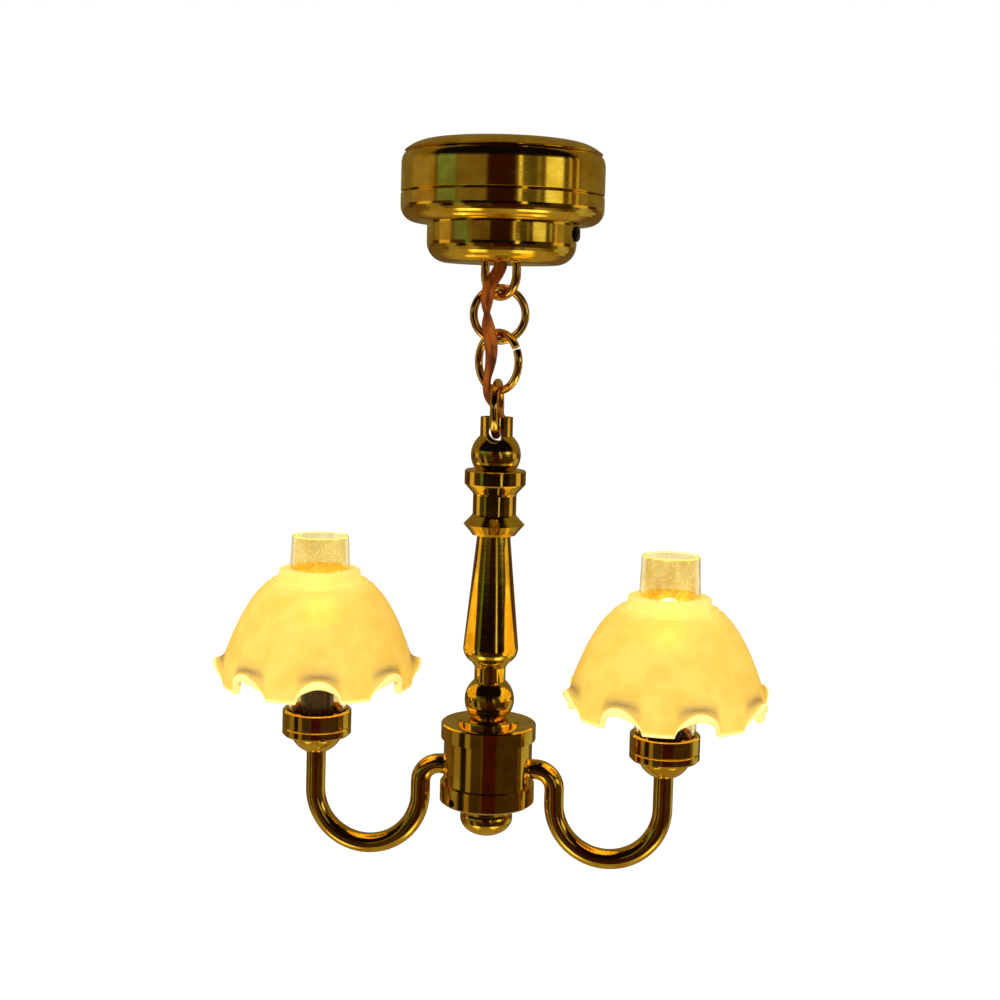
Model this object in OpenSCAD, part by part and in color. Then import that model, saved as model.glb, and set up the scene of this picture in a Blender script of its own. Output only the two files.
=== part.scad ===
// Miniature chandelier, 1:12 scale: two lit lamps on swan-neck arms, a turned column,
// a three-ring chain and a round battery canopy under a magnetic ceiling cap.
// Millimetres, +Z up. The origin is the centre of the flat face that meets the ceiling.

/* [Canopy] */
// Outside diameter of the canopy
canopy_d = 22; // [20:0.5:26]
// Diameter of the flat face that meets the ceiling
flat_d = 15.8; // [14:0.2:17]
// Depth of the crown, from the flat face to its rim
crown_h = 1.1; // [0.8:0.01:1.3]
// Height of the ceiling cap from the ceiling to the seam
cap_h = 5.56; // [5.4:0.01:6.6]
// Height of the wide lower band under the seam
band_h = 3.19; // [3:0.01:3.8]
// Outside diameter of the small drum under the canopy
drum_d = 16.2; // [15.8:0.1:18]
// Height of the small drum
drum_h = 4.25; // [4.2:0.01:5.5]
// Wall of the canopy shells
shell_wall = 0.7; // [0.5:0.05:0.8]
// Radial gap between the cap skirt and the spigot inside it
spigot_gap = 0.1; // [0.05:0.01:0.2]

/* [Battery and switch] */
// Diameter of the coin cell
cell_d = 16; // [12:0.1:16.2]
// Thickness of the coin cell
cell_h = 3.2; // [2:0.1:3.4]
// Length that the switch lever travels
switch_travel = 1.6; // [1:0.1:2]
// Diameter of the switch knob
knob_d = 1.64; // [1.4:0.02:2]
// How far the knob stands out of the drum
knob_out = 0.4; // [0.3:0.05:0.8]

/* [Chain] */
// Wire diameter of the staple
staple_wire = 0.95; // [0.7:0.05:1]
// Distance between the legs of the staple, centre to centre
staple_span = 4.8; // [4.6:0.1:5.4]
// Turn of the staple about the vertical
staple_turn = -38; // [-42:1:-34]
// Wire diameter of the jump rings
ring_wire = 0.87; // [0.7:0.01:0.9]
// Outside diameter of the top and bottom rings
ring_d = 6.6; // [6.4:0.1:7.2]
// Outside diameter of the middle ring, which has been opened wider
wide_ring_d = 7.2; // [6.6:0.1:7.6]
// Turn of the three rings about the vertical
ring_turns = [18, -40, 90];
// Place of the split in each ring, from the horizontal, and its width, in degrees
ring_splits = [[58, 3], [28, 7], [150, 3]];
// Slack left between two hooked pieces
link_slack = 0.03; // [0.02:0.01:0.06]

/* [Column] */
// Outside diameter of the eye stub
stub_d = 3.56; // [3.5:0.02:3.8]
// Diameter of the cross hole for the bottom ring
eye_hole_d = 2; // [1.9:0.05:2.1]
// Diameter of the bore for the lead in the eye stub
stub_bore_d = 2.7; // [2.6:0.05:2.8]
// Diameter of the two balls on the column
ball_d = 5.46; // [5.2:0.02:5.8]
// Diameter of the collar and of the sharp bead
collar_d = 6.7; // [6.2:0.1:7.4]
// Height of the collar turning with its bead
collar_h = 7.1; // [6.6:0.1:8]
// Diameter of the neck between collar and bead
neck_d = 4.76; // [4.4:0.02:5]
// Length of the baluster from the bead to the foot of its lower ball
baluster_h = 20.25; // [18:0.25:24]
// Diameters of the baluster at its top and at its belly
baluster_d = [3.62, 6.06];
// Diameter of the tube that ties the column together, and of its bore
tie_d = [2.6, 1.7];

/* [Hub] */
// Diameter of the hub cap and base
hub_cap_d = 10.44; // [10:0.02:12]
// Diameter of the hub drum
hub_d = 9.74; // [9.4:0.02:10.4]
// Heights of the hub cap, drum and base
hub_h = [1.7, 5, 2.2];
// Diameter of the finial under the hub
finial_d = 5.8; // [5:0.1:6.6]
// Height of the finial
finial_h = 3.7; // [3.2:0.1:4.6]

/* [Arms] */
// Outside diameter of the arm tube
arm_d = 2.15; // [1.9:0.05:2.4]
// Bore of the arm tube
arm_bore = 1.4; // [1.2:0.05:1.5]
// Distance from the column to the falling part of the arm
arm_fall_x = 7.45; // [7.4:0.05:8.4]
// Radius of the tight bend next to the hub
arm_bend_r = 2.1; // [1.9:0.05:2.2]
// Radius of the wide bend at the bottom
arm_u_r = 5.95; // [5.6:0.05:7]
// Fall from the arm's exit to the start of the wide bend
arm_fall = 3.55; // [3:0.05:5]
// Rise of the right and left arms from the wide bend to the foot of the cup
arm_rise = [3.45, 3.95];

/* [Lamps] */
// Outside diameter of the cup and of its ring
cup_d = 7.66; // [7.4:0.02:8.4]
// Diameter of the round foot of the cup
cup_foot_d = 6.1; // [5.6:0.1:6.6]
// Height of the cup band, and of the ring that stands on it
cup_h = [1, 1.86];
// Outside diameter of the sleeve that carries the LED
sleeve_d = 3.7; // [3.5:0.05:4]
// Length of the sleeve above the cup floor
sleeve_h = 11.3; // [10:0.1:12]
// Diameters of the chimney at its foot, under the collar and at its top
chimney_d = [6.7, 6.7, 6.3];
// Height of the chimney
chimney_h = 20.96; // [20:0.02:24]
// Wall of the chimney
chimney_wall = 0.45; // [0.35:0.05:0.6]
// Drop from the chimney top to the collar of the right and left shades
shade_drop = [4.35, 3.65];
// Outside diameter of the shade above its frilled rim
shade_d = 20.4; // [19:0.1:24]
// Height of the shade from its collar to the lobes
shade_h = 12.6; // [11.6:0.1:14]
// Outside diameter of the shade collar
shade_collar_d = 9.06; // [8.6:0.02:9.8]
// Wall of the shade
shade_wall = 0.95; // [0.7:0.05:1.1]
// Number of scallops round the rim
scallops = 8; // [6:1:10]
// Turn of the right and left shades about their own axes, in degrees
shade_turn = [-71, -76];
// Rise of the rim at the middle of a scallop, and how far it flares out there
scallop_rise = 2; // [1.4:0.1:2.4]
scallop_flare = 0.8; // [0.4:0.1:1]

/* [Hidden] */

$fn = 64;
tiny = 0.01;
fit = 0.03;

RIGHT = 0;
LEFT = 1;

gold = [0.83, 0.63, 0.22];
steel = [0.72, 0.73, 0.75];
black = [0.08, 0.08, 0.09];
frost = [1, 0.93, 0.68, 0.8];
clear = [0.85, 0.9, 0.9, 0.4];
copper = [0.75, 0.38, 0.12];
board_green = [0.1, 0.4, 0.2];

// ---- Heights, from the ceiling down ----
canopy_r = canopy_d / 2;
cap_top_h = 1.6;
magnet_h = 1.5;
keeper_h = 0.5;
seam_gap = 0.05;
seam_bevel = 0.14;
seam_z = -cap_h;
band_z = seam_z - band_h;
drum_z = band_z - drum_h;
magnet_z = -cap_top_h - magnet_h;
keeper_z = magnet_z - seam_gap - keeper_h;
skirt_wall = 1.05;
cap_skirt_r = canopy_r - skirt_wall;
spigot_r = cap_skirt_r - spigot_gap;
spigot_wall = 1;
spigot_in_r = spigot_r - spigot_wall;
drum_r = drum_d / 2;
drum_in_r = drum_r - shell_wall;
drum_floor_z = drum_z + shell_wall;
ledge_z = band_z + shell_wall;
board_h = 0.6;
board_gap = 0.5;
board_r = drum_in_r - board_gap;
post_h = 1.2;
post_r = 0.6;
board_z = drum_floor_z + post_h;
switch_h = 1.7;
knob_z = board_z + board_h + switch_h / 2;

// ---- Chain ----
wire_r = ring_wire / 2;
ring_r = (ring_d - ring_wire) / 2;
wide_ring_r = (wide_ring_d - ring_wire) / 2;
ring_in_r = ring_r - wire_r;
wide_ring_in_r = wide_ring_r - wire_r;
staple_drop = 3.5;
staple_z = drum_z - staple_drop;
ring_1_z = staple_z + staple_wire / 2 + link_slack - ring_in_r;
ring_2_z = ring_1_z - ring_in_r - wide_ring_in_r + link_slack;
ring_3_z = ring_2_z - wide_ring_in_r - ring_in_r + link_slack;
stub_r = stub_d / 2;
eye_hole_r = eye_hole_d / 2;
// The ring bears on the two mouths of the cross hole, so its inside meets them there.
eye_z = ring_3_z - sqrt(pow(ring_in_r, 2) - pow(stub_r, 2)) - eye_hole_r + link_slack;

// ---- Column and hub ----
ball_r = ball_d / 2;
stub_above_eye = 1.75;
ball_below_eye = 2.4;
collar_below_ball = 1.65;
stub_top_z = eye_z + stub_above_eye;
ball_z = eye_z - ball_below_eye;
collar_z = ball_z - collar_below_ball;
bead_z = collar_z - collar_h;
foot_z = bead_z - baluster_h;
ball_2_rise = 2;
ball_2_z = foot_z + ball_2_rise;
flange_h = 0.55;
hub_top_z = foot_z - flange_h;
hub_cap_z = hub_top_z - hub_h[0];
hub_drum_z = hub_cap_z - hub_h[1];
hub_base_z = hub_drum_z - hub_h[2];
hub_r = hub_d / 2;
hub_wall = 1.27;
hub_in_r = hub_r - hub_wall;
tie_r = tie_d[0] / 2;
tie_bore_r = tie_d[1] / 2;
tie_in_collar = 1.5;
tie_in_finial = 1.7;
tie_top_z = bead_z + tie_in_collar;
tie_end_z = hub_base_z - tie_in_finial;
spigot_h = 0.5;
nut_h = 1.1;

// ---- Arms and lamps ----
arm_r = arm_d / 2;
arm_clear = 0.125;
arm_z = hub_drum_z + spigot_h + arm_clear + arm_r;
arm_in_hub = 0.5;
arm_start_x = hub_in_r - arm_in_hub;
arm_u_z = arm_z - arm_fall;
lamp_x = arm_fall_x + 2 * arm_u_r;
cup_socket = 2;
function foot_of(side) = arm_u_z + arm_rise[side];
cup_foot_h = 2.1;
cup_floor = 0.4;
function cup_band_z(side) = foot_of(side) + cup_foot_h;
function cup_top_z(side) = cup_band_z(side) + cup_h[0];
function floor_z(side) = cup_top_z(side) + cup_floor;
function sleeve_top_z(side) = floor_z(side) + sleeve_h;
function chimney_top_z(side) = floor_z(side) + chimney_h;
function collar_top_z(side) = chimney_top_z(side) - shade_drop[side];
lead_in_arm_r = 0.45;
led_r = 1.5;
led_flange_h = 0.5;
led_h = 3;

// ---- Small shared shapes ----

// A closed outline of points turned round the vertical.
module turned(points) {
    rotate_extrude() polygon(points);
}

// A plain round tube from z0 up, h high.
module tube(outer_r, inner_r, z0, h) {
    translate([0, 0, z0])
        difference() {
            cylinder(r = outer_r, h = h);
            translate([0, 0, -1]) cylinder(r = inner_r, h = h + 2);
        }
}

// Points of an arc in a profile: centre, radius, from one angle to another.
function arc(c, r, a0, a1, n = 10) =
    [for (i = [0 : n]) let (a = a0 + (a1 - a0) * i / n) [c[0] + r * cos(a), c[1] + r * sin(a)]];

// Points of an elliptical arc in a profile.
function oval(c, rx, ry, a0, a1, n = 12) =
    [for (i = [0 : n]) let (a = a0 + (a1 - a0) * i / n) [c[0] + rx * cos(a), c[1] + ry * sin(a)]];

// ---- Canopy ----

// The crown is the top of an upright ellipse: crown_run is how far round it the crown goes.
module ceiling_cap() {
    tip_r = canopy_r - 0.32;
    groove_r = tip_r - 0.25;
    groove_h = 0.25;
    groove_z = -crown_h - groove_h;
    flat_r = flat_d / 2;
    crown_run = 35;
    crown_rx = (tip_r - flat_r) / sin(crown_run);
    crown_ry = crown_h / (1 - cos(crown_run));
    shoulder_rx = 0.55;
    shoulder_ry = 1.2;
    roof_bevel = [0.5, 0.7];
    color(gold)
        turned(concat(
            [[0, -cap_top_h], [0, 0]],
            oval([flat_r, -crown_ry], crown_rx, crown_ry, 90, 90 - crown_run),
            [[groove_r, groove_z]],
            oval([canopy_r - shoulder_rx, groove_z - shoulder_ry], shoulder_rx, shoulder_ry, 75, 0, 10),
            [[canopy_r, seam_z + seam_bevel], [canopy_r - seam_bevel, seam_z], [cap_skirt_r, seam_z],
                [cap_skirt_r, -cap_top_h - roof_bevel[1]], [cap_skirt_r - roof_bevel[0], -cap_top_h]]
        ));
}

module ceiling_magnet() {
    color(steel) tube(cap_skirt_r - 0.55, cap_skirt_r - 2.75, magnet_z, magnet_h);
}

module keeper_ring() {
    color(steel) tube(spigot_r - 0.2, spigot_r - 2.65, keeper_z, keeper_h);
}

// The two bands of the canopy below the seam, one turned shell with a spigot at its top.
module canopy_shell() {
    band_round = 1.75;
    drum_round = 2.2;
    turned(concat(
        [[spigot_in_r, keeper_z], [spigot_r, keeper_z], [spigot_r, seam_z - seam_gap],
            [canopy_r - seam_bevel, seam_z - seam_gap], [canopy_r, seam_z - seam_gap - seam_bevel]],
        arc([canopy_r - band_round, band_z + band_round], band_round, 0, -90),
        [[drum_r, band_z]],
        arc([drum_r - drum_round, drum_z + drum_round], drum_round, 0, -90),
        [[0, drum_z], [0, drum_floor_z]],
        arc([drum_r - drum_round, drum_z + drum_round], drum_round - shell_wall, -90, 0),
        [[drum_in_r, ledge_z], [spigot_in_r, ledge_z]]
    ));
}

module canopy_drum() {
    post_at = 5;
    slot_y = switch_travel / 2 + 0.55;
    color(gold)
        difference() {
            union() {
                canopy_shell();
                for (a = [60, 180, 300])
                    rotate(a) translate([post_at, 0, drum_floor_z - tiny])
                        cylinder(r = post_r, h = post_h + tiny);
            }
            translate([0, 0, drum_z - 1]) cylinder(r = grommet_r + fit, h = 3);
            stood_staple() staple_legs(staple_wire / 2 + fit);
            translate([drum_in_r - 1, -slot_y, knob_z - 0.5]) cube([3, 2 * slot_y, 1]);
        }
}

// ---- Battery and switch ----

holder_r = spigot_in_r - 0.05;
holder_floor = 0.45;
holder_h = 4.1;
spring_h = 0.2;
cell_z = ledge_z + holder_floor + spring_h;
notch_y = cell_d / 2 + 0.05;
lead_hole_r = 1.3;
strap_w = 2.2;

module battery_holder() {
    color(black)
        difference() {
            translate([0, 0, ledge_z]) cylinder(r = holder_r, h = holder_h);
            translate([0, 0, ledge_z + holder_floor]) cylinder(r = notch_y, h = holder_h);
            translate([0, 0, ledge_z - 1]) cylinder(r = lead_hole_r, h = 3);
            translate([-strap_w / 2 - 0.2, notch_y - 0.2, ledge_z - 1]) cube([strap_w + 0.4, 2, holder_h + 2]);
        }
}

module coin_cell() {
    rim = 0.3;
    cell_r = cell_d / 2;
    color(steel)
        turned([[0, cell_z], [cell_r - 1, cell_z], [cell_r - 1, cell_z + rim], [cell_r, cell_z + 2 * rim],
            [cell_r, cell_z + cell_h], [0, cell_z + cell_h]]);
}

// The positive strap: across the top of the cell and down its side.
module cell_clip() {
    strap = 0.25;
    color(gold)
        union() {
            translate([-strap_w / 2, 0, cell_z + cell_h]) cube([strap_w, notch_y + 0.1 + strap, strap]);
            translate([-strap_w / 2, notch_y + 0.1, ledge_z]) cube([strap_w, strap, cell_z + cell_h - ledge_z]);
        }
}

// The negative spring, a shallow dished washer under the cell.
module cell_spring() {
    color(steel)
        turned([[1.5, ledge_z + holder_floor], [3.4, ledge_z + holder_floor], [2.6, cell_z], [1.5, cell_z]]);
}

module circuit_board() {
    color(board_green) tube(board_r, 1.1, board_z, board_h);
}

module resistor() {
    color(black) translate([-4.6, -0.6, board_z + board_h]) cube([2, 1.2, 0.6]);
}

switch_in_x = 4.6;
switch_y = 2.4;
switch_out_x = sqrt(pow(drum_in_r, 2) - pow(switch_y, 2)) - 0.05;
stem_y = 0.45;

module switch_body() {
    track_y = switch_travel / 2 + 0.5;
    color(black)
        difference() {
            translate([switch_in_x, -switch_y, board_z + board_h])
                cube([switch_out_x - switch_in_x, 2 * switch_y, switch_h]);
            translate([switch_out_x - 0.8, -track_y, knob_z - 0.45]) cube([2, 2 * track_y, 0.9]);
        }
}

// The lever stands at the lit end of its travel.
module switch_lever() {
    knob_r = knob_d / 2;
    knob_x = drum_r + 0.02;
    color(black)
        translate([0, -switch_travel / 2, knob_z])
            union() {
                translate([switch_out_x - 0.75, -stem_y, -0.4])
                    cube([knob_x - switch_out_x + 0.75 + tiny, 2 * stem_y, 0.8]);
                translate([knob_x, 0, 0]) rotate([0, 90, 0])
                    union() {
                        cylinder(r = knob_r, h = knob_out / 2);
                        translate([0, 0, knob_out / 2]) cylinder(r1 = knob_r, r2 = knob_r * 0.6, h = knob_out / 2);
                    }
            }
}

// ---- Staple, rings and lead ----

// The staple is drawn flat about the centre of its bend, with its legs along +Y, and stood up.
module stood_staple() {
    translate([0, 0, staple_z + staple_span / 2]) rotate([90, 0, staple_turn]) children();
}

module staple_legs(r) {
    leg_h = drum_floor_z + 0.4 - staple_z - staple_span / 2;
    for (s = [-1, 1])
        translate([s * staple_span / 2, 0, 0]) rotate([-90, 0, 0]) linear_extrude(leg_h) circle(r = r);
}

module staple() {
    color(gold) stood_staple()
        union() {
            staple_legs(staple_wire / 2);
            rotate_extrude(angle = 180, start = 180) translate([staple_span / 2, 0]) circle(d = staple_wire);
        }
}

grommet_r = 1.2;
grommet_bore_r = 0.88;
grommet_lip = 0.5;
grommet_lip_h = 0.3;

module lead_grommet() {
    color(black)
        difference() {
            union() {
                translate([0, 0, drum_z]) cylinder(r = grommet_r, h = shell_wall + tiny);
                translate([0, 0, drum_floor_z]) cylinder(r = grommet_r + grommet_lip, h = grommet_lip_h);
            }
            translate([0, 0, drum_z - 1]) cylinder(r = grommet_bore_r, h = 4);
        }
}

// A split ring of centre-line radius r, standing upright, with its centre at height z.
module chain_ring(r, z, i) {
    split = ring_splits[i];
    color(gold)
        translate([0, 0, z]) rotate([90, 0, ring_turns[i]])
            rotate_extrude(angle = 360 - split[1], start = split[0] + split[1] / 2)
                translate([r, 0]) circle(d = ring_wire, $fn = 32);
}

module chain_ring_1() chain_ring(ring_r, ring_1_z, 0);
module chain_ring_2() chain_ring(wide_ring_r, ring_2_z, 1);
module chain_ring_3() chain_ring(ring_r, ring_3_z, 2);

// The twin lead: middle of the pair and the turn of its two cores round each other, from the
// circuit board down to the tie tube. Each point is x, y, z and that turn in degrees.
lead_core_d = 0.7;
lead_pitch = 0.74;
LEAD = [
    [0, 0, -11.4, 0], [0, 0, -12.4, 0], [-0.05, 0, -13.2, 0], [-0.35, -0.25, -14, -5],
    [-0.75, -0.85, -14.8, -12], [-1.05, -1.3, -15.6, -18], [-1.2, -1.4, -16.4, -18],
    [-1.25, -1.4, -17, -38], [-1.25, -1.4, -17.5, -60], [-1.25, -1.35, -18, -82],
    [-1.2, -1.35, -18.5, -105], [-1.15, -1.35, -19, -130], [-1.1, -1.35, -19.5, -155],
    [-1, -1.3, -20, -178], [-0.9, -1.3, -20.6, -198], [-0.75, -1.25, -21.4, -198],
    [-0.65, -1.1, -22.3, -215], [-0.7, -0.9, -23.3, -232], [-0.85, -0.8, -24.3, -248],
    [-1.05, -0.8, -25.2, -260], [-1.1, -0.85, -26, -264], [-1.08, -0.85, -26.8, -267],
    [-0.85, -0.6, -27.6, -270], [-0.3, -0.2, -28.4, -270], [0.3, 0, -29.2, -270],
    [0.72, 0, -30, -270], [0.88, 0, -31, -270], [0.88, 0, -32, -270],
    [0.7, 0, -32.5, -270], [0.3, 0, -33, -270], [0.05, 0, -33.5, -272],
    [0, 0, -34.2, -280], [0, 0, -35.4, -310], [0, 0, -36.6, -340]
];

module lead_core(side) {
    middle = [for (p = LEAD) [p[0], p[1], p[2]]];
    path = [for (i = [0 : len(LEAD) - 1])
        middle[i] + side * lead_pitch / 2 * across(heading(middle, i), LEAD[i][3])];
    color(copper) cord(path, lead_core_d / 2, 8);
}

module lead_core_a() lead_core(1);
module lead_core_b() lead_core(-1);

// A round cord swept through points that run mainly downward.
function unit(v) = v / norm(v);
function heading(p, i) = unit(p[min(i + 1, len(p) - 1)] - p[max(i - 1, 0)]);
// The direction across heading t that lies a degrees round it.
function across(t, a) = let (u = unit(cross([0, 1, 0], t))) cos(a) * u + sin(a) * cross(t, u);
module cord(p, r, sides) {
    n = len(p);
    rings = [for (i = [0 : n - 1], k = [0 : sides - 1])
        p[i] + r * across(heading(p, i), 360 * k / sides)];
    walls = [for (i = [0 : n - 2], k = [0 : sides - 1])
        let (a = i * sides + k, b = i * sides + (k + 1) % sides)
        each [[a, b, b + sides], [a, b + sides, a + sides]]];
    ends = [[for (k = [sides - 1 : -1 : 0]) k], [for (k = [0 : sides - 1]) (n - 1) * sides + k]];
    polyhedron(rings, concat(walls, ends), convexity = 6);
}

// ---- Column ----

module eye_stub() {
    floor_z = eye_z - 2.3;
    spread = asin((collar_z - ball_z) / ball_r);
    color(gold)
        difference() {
            turned(concat(
                [[tie_bore_r, collar_z], [tie_bore_r, floor_z], [stub_bore_d / 2, floor_z],
                    [stub_bore_d / 2, stub_top_z], [stub_r, stub_top_z]],
                arc([0, ball_z], ball_r, acos(stub_r / ball_r), spread, 16)
            ));
            translate([0, 0, eye_z]) rotate([90, 0, ring_turns[2] + 90])
                cylinder(r = eye_hole_r, h = 3 * stub_d, center = true);
        }
}

module column_collar() {
    collar_r = collar_d / 2;
    neck_r = neck_d / 2;
    bead_edge_z = bead_z + 1.15;
    color(gold)
        turned([[tie_r + fit, collar_z - 3], [tie_bore_r, collar_z - 3], [tie_bore_r, collar_z],
            [collar_r - 0.12, collar_z], [collar_r, collar_z - 0.12], [collar_r, collar_z - 1.5],
            [collar_r - 0.1, collar_z - 1.65], [neck_r + 0.05, collar_z - 2.55], [neck_r, collar_z - 2.75],
            [neck_r, bead_edge_z + 1.1], [neck_r + 0.08, bead_edge_z + 0.95], [collar_r, bead_edge_z],
            [collar_r - 0.75, bead_z + 0.3], [collar_r - 0.95, bead_z], [tie_r + fit, bead_z]]);
}

module baluster() {
    top_r = baluster_d[0] / 2;
    belly_r = baluster_d[1] / 2;
    neck_r = 1.72;
    belly_z = ball_2_z + 5.75;
    round_r = 1.75;
    color(gold)
        turned(concat(
            [[tie_r + fit, foot_z], [tie_r + fit, bead_z], [top_r, bead_z]],
            arc([belly_r - round_r, belly_z], round_r, 6, -62, 12),
            [[neck_r, belly_z - round_r - 0.35], [neck_r, ball_2_z + sqrt(pow(ball_r, 2) - pow(neck_r, 2))]],
            arc([0, ball_2_z], ball_r, acos(neck_r / ball_r), -40, 14),
            [[1.6, ball_2_z - 1.85], [1.6, foot_z]]
        ));
}

module hub_flange() {
    color(gold)
        turned([[tie_r + fit, hub_top_z], [tie_r + fit, foot_z], [3.1, foot_z], [3.35, foot_z - 0.12],
            [3.4, foot_z - 0.3], [3.4, hub_top_z]]);
}

// ---- Hub ----

module hub_cap() {
    r = hub_cap_d / 2;
    color(gold)
        turned([[tie_r + fit, hub_cap_z - spigot_h], [tie_r + fit, hub_top_z], [r - 0.15, hub_top_z],
            [r, hub_top_z - 0.15], [r, hub_cap_z], [hub_in_r - fit, hub_cap_z],
            [hub_in_r - fit, hub_cap_z - spigot_h]]);
}

module hub_drum() {
    color(gold)
        difference() {
            tube(hub_r, hub_in_r, hub_drum_z, hub_h[1]);
            for (s = [-1, 1])
                translate([s * hub_r, 0, arm_z]) rotate([0, 90, 0]) cylinder(r = arm_r + fit, h = 4, center = true);
        }
}

screw_r = 0.4;
screw_turn = -130;
screw_z = hub_base_z + 0.75;
hex_depth = 0.3;
hex_r = 0.2;

module hub_base() {
    r = hub_cap_d / 2 - 0.02;
    color(gold)
        difference() {
            turned([[tie_r + fit, hub_base_z], [r - 0.35, hub_base_z], [r, hub_base_z + 0.25],
                [r, hub_drum_z], [hub_in_r - fit, hub_drum_z], [hub_in_r - fit, hub_drum_z + spigot_h],
                [tie_r + fit, hub_drum_z + spigot_h]]);
            translate([0, 0, screw_z]) rotate([0, 90, screw_turn])
                translate([0, 0, tie_r + fit - tiny]) cylinder(r = screw_r + fit, h = r);
        }
}

module set_screw() {
    length = hub_cap_d / 2 - tie_r - 0.4;
    color(black)
        translate([0, 0, screw_z]) rotate([0, 90, screw_turn])
            difference() {
                translate([0, 0, tie_r + fit]) cylinder(r = screw_r, h = length);
                translate([0, 0, tie_r + fit + length - hex_depth]) cylinder(r = hex_r, h = 1, $fn = 6);
            }
}

module tie_tube() {
    color(gold)
        difference() {
            tube(tie_r, tie_bore_r, tie_end_z, tie_top_z - tie_end_z);
            translate([0, 0, arm_z]) rotate([0, 90, 0]) cylinder(r = 0.6, h = 6, center = true);
        }
}

module tie_nut() {
    nut_r = 2.2;
    color(steel)
        translate([0, 0, hub_cap_z - spigot_h - nut_h])
            difference() {
                cylinder(r = nut_r, h = nut_h, $fn = 6);
                translate([0, 0, -1]) cylinder(r = tie_r + fit, h = nut_h + 2);
            }
}

module finial() {
    r = finial_d / 2;
    straight = 1.7;
    color(gold)
        turned(concat(
            [[0, tie_end_z], [tie_r + fit, tie_end_z], [tie_r + fit, hub_base_z], [r - 0.25, hub_base_z],
                [r - 0.05, hub_base_z - 0.35]],
            oval([0, hub_base_z - straight], r, finial_h - straight, 20, -90, 16)
        ));
}

// ---- Arms ----

// The run of the arm: out of the hub, a tight bend down, a wide bend and the riser.
// It is drawn flat and then stood up, and children() is its section.
module arm_run(side) {
    rise = arm_rise[side] + cup_socket;
    rotate([90, 0, 0])
        union() {
            translate([arm_start_x, arm_z, 0]) rotate([0, 90, 0])
                linear_extrude(arm_fall_x - arm_bend_r - arm_start_x) children();
            translate([arm_fall_x - arm_bend_r, arm_z - arm_bend_r, 0])
                rotate_extrude(angle = 90) translate([arm_bend_r, 0]) children();
            translate([arm_fall_x, arm_u_z, 0]) rotate([-90, 0, 0])
                linear_extrude(arm_fall - arm_bend_r) children();
            translate([arm_fall_x + arm_u_r, arm_u_z, 0])
                rotate_extrude(angle = 180, start = 180) translate([arm_u_r, 0]) children();
            translate([lamp_x, arm_u_z, 0]) rotate([-90, 0, 0])
                linear_extrude(rise) children();
        }
}

module arm(side) {
    color(gold) arm_run(side)
        difference() {
            circle(r = arm_r);
            circle(d = arm_bore);
        }
}

module arm_lead(side) {
    color(copper) arm_run(side) circle(r = lead_in_arm_r, $fn = 24);
}

module on_left() mirror([1, 0, 0]) children();

module arm_right() arm(RIGHT);
module arm_left() on_left() arm(LEFT);
module arm_lead_right() arm_lead(RIGHT);
module arm_lead_left() on_left() arm_lead(LEFT);

// ---- Lamps, each drawn on its own axis and then moved out to the arm's end ----

module at_lamp() translate([lamp_x, 0, 0]) children();

module cup(side) {
    foot_r = cup_foot_d / 2;
    band_z = cup_band_z(side);
    top_z = cup_top_z(side);
    socket_z = foot_of(side) + cup_socket;
    r = cup_d / 2;
    centre_z = foot_of(side) + foot_r;
    color(gold)
        turned(concat(
            [[arm_bore / 2, top_z], [arm_bore / 2, socket_z], [arm_r + fit, socket_z]],
            arc([0, centre_z], foot_r, -90 + asin((arm_r + fit) / foot_r),
                asin((band_z - centre_z) / foot_r), 14),
            [[r - 0.25, band_z], [r, band_z + 0.25], [r, top_z - 0.1], [r - 0.1, top_z]]
        ));
}

module cup_ring(side) {
    r = cup_d / 2;
    z = cup_top_z(side);
    top = z + cup_h[1];
    floor = floor_z(side);
    well_r = chimney_d[0] / 2 + fit;
    color(gold)
        turned([[arm_bore / 2, z], [r - 0.06, z], [r, z + 0.1], [r, top - 0.1], [r - 0.1, top],
            [well_r + 0.06, top], [well_r, top - 0.1], [well_r, floor], [arm_bore / 2, floor]]);
}

module led_sleeve(side) {
    color([0.3, 0.18, 0.06]) tube(sleeve_d / 2, led_r, floor_z(side), sleeve_h);
}

// Flanged 3 mm LED standing on the sleeve, with its plug end inside the sleeve.
module led(side) {
    z = sleeve_top_z(side);
    color([1, 0.95, 0.6])
        turned(concat(
            [[0, z - 1.5], [led_r - fit, z - 1.5], [led_r - fit, z], [sleeve_d / 2 - 0.05, z],
                [sleeve_d / 2 - 0.05, z + led_flange_h], [led_r, z + led_flange_h]],
            arc([0, z + led_flange_h + led_h], led_r, 0, 90)
        ));
}

module chimney(side) {
    r = [for (d = chimney_d) d / 2];
    z = floor_z(side);
    bend_z = collar_top_z(side) - 0.3;
    top = chimney_top_z(side);
    w = chimney_wall;
    color(clear)
        turned([[r[0] - w, z], [r[0], z], [r[1], bend_z - 1], [r[2], top - 0.1], [r[2] - 0.1, top],
            [r[2] - w + 0.1, top], [r[2] - w, top - 0.1], [r[1] - w, bend_z - 1]]);
}

// How far a point of the rim is inside a scallop: 1 at its middle, 0 on the lobes.
scallop_half = 0.3;
function scallop(a) =
    let (t = a * scallops / 360, d = abs(t - round(t)))
    d > scallop_half ? 0 : (1 + cos(180 * d / scallop_half)) / 2;

// Radius of the shade's bell, a parabola, at share u of its way from the collar to the skirt.
function bell_r(u, collar_r, body_r) = collar_r + (body_r - collar_r) * u;

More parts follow.
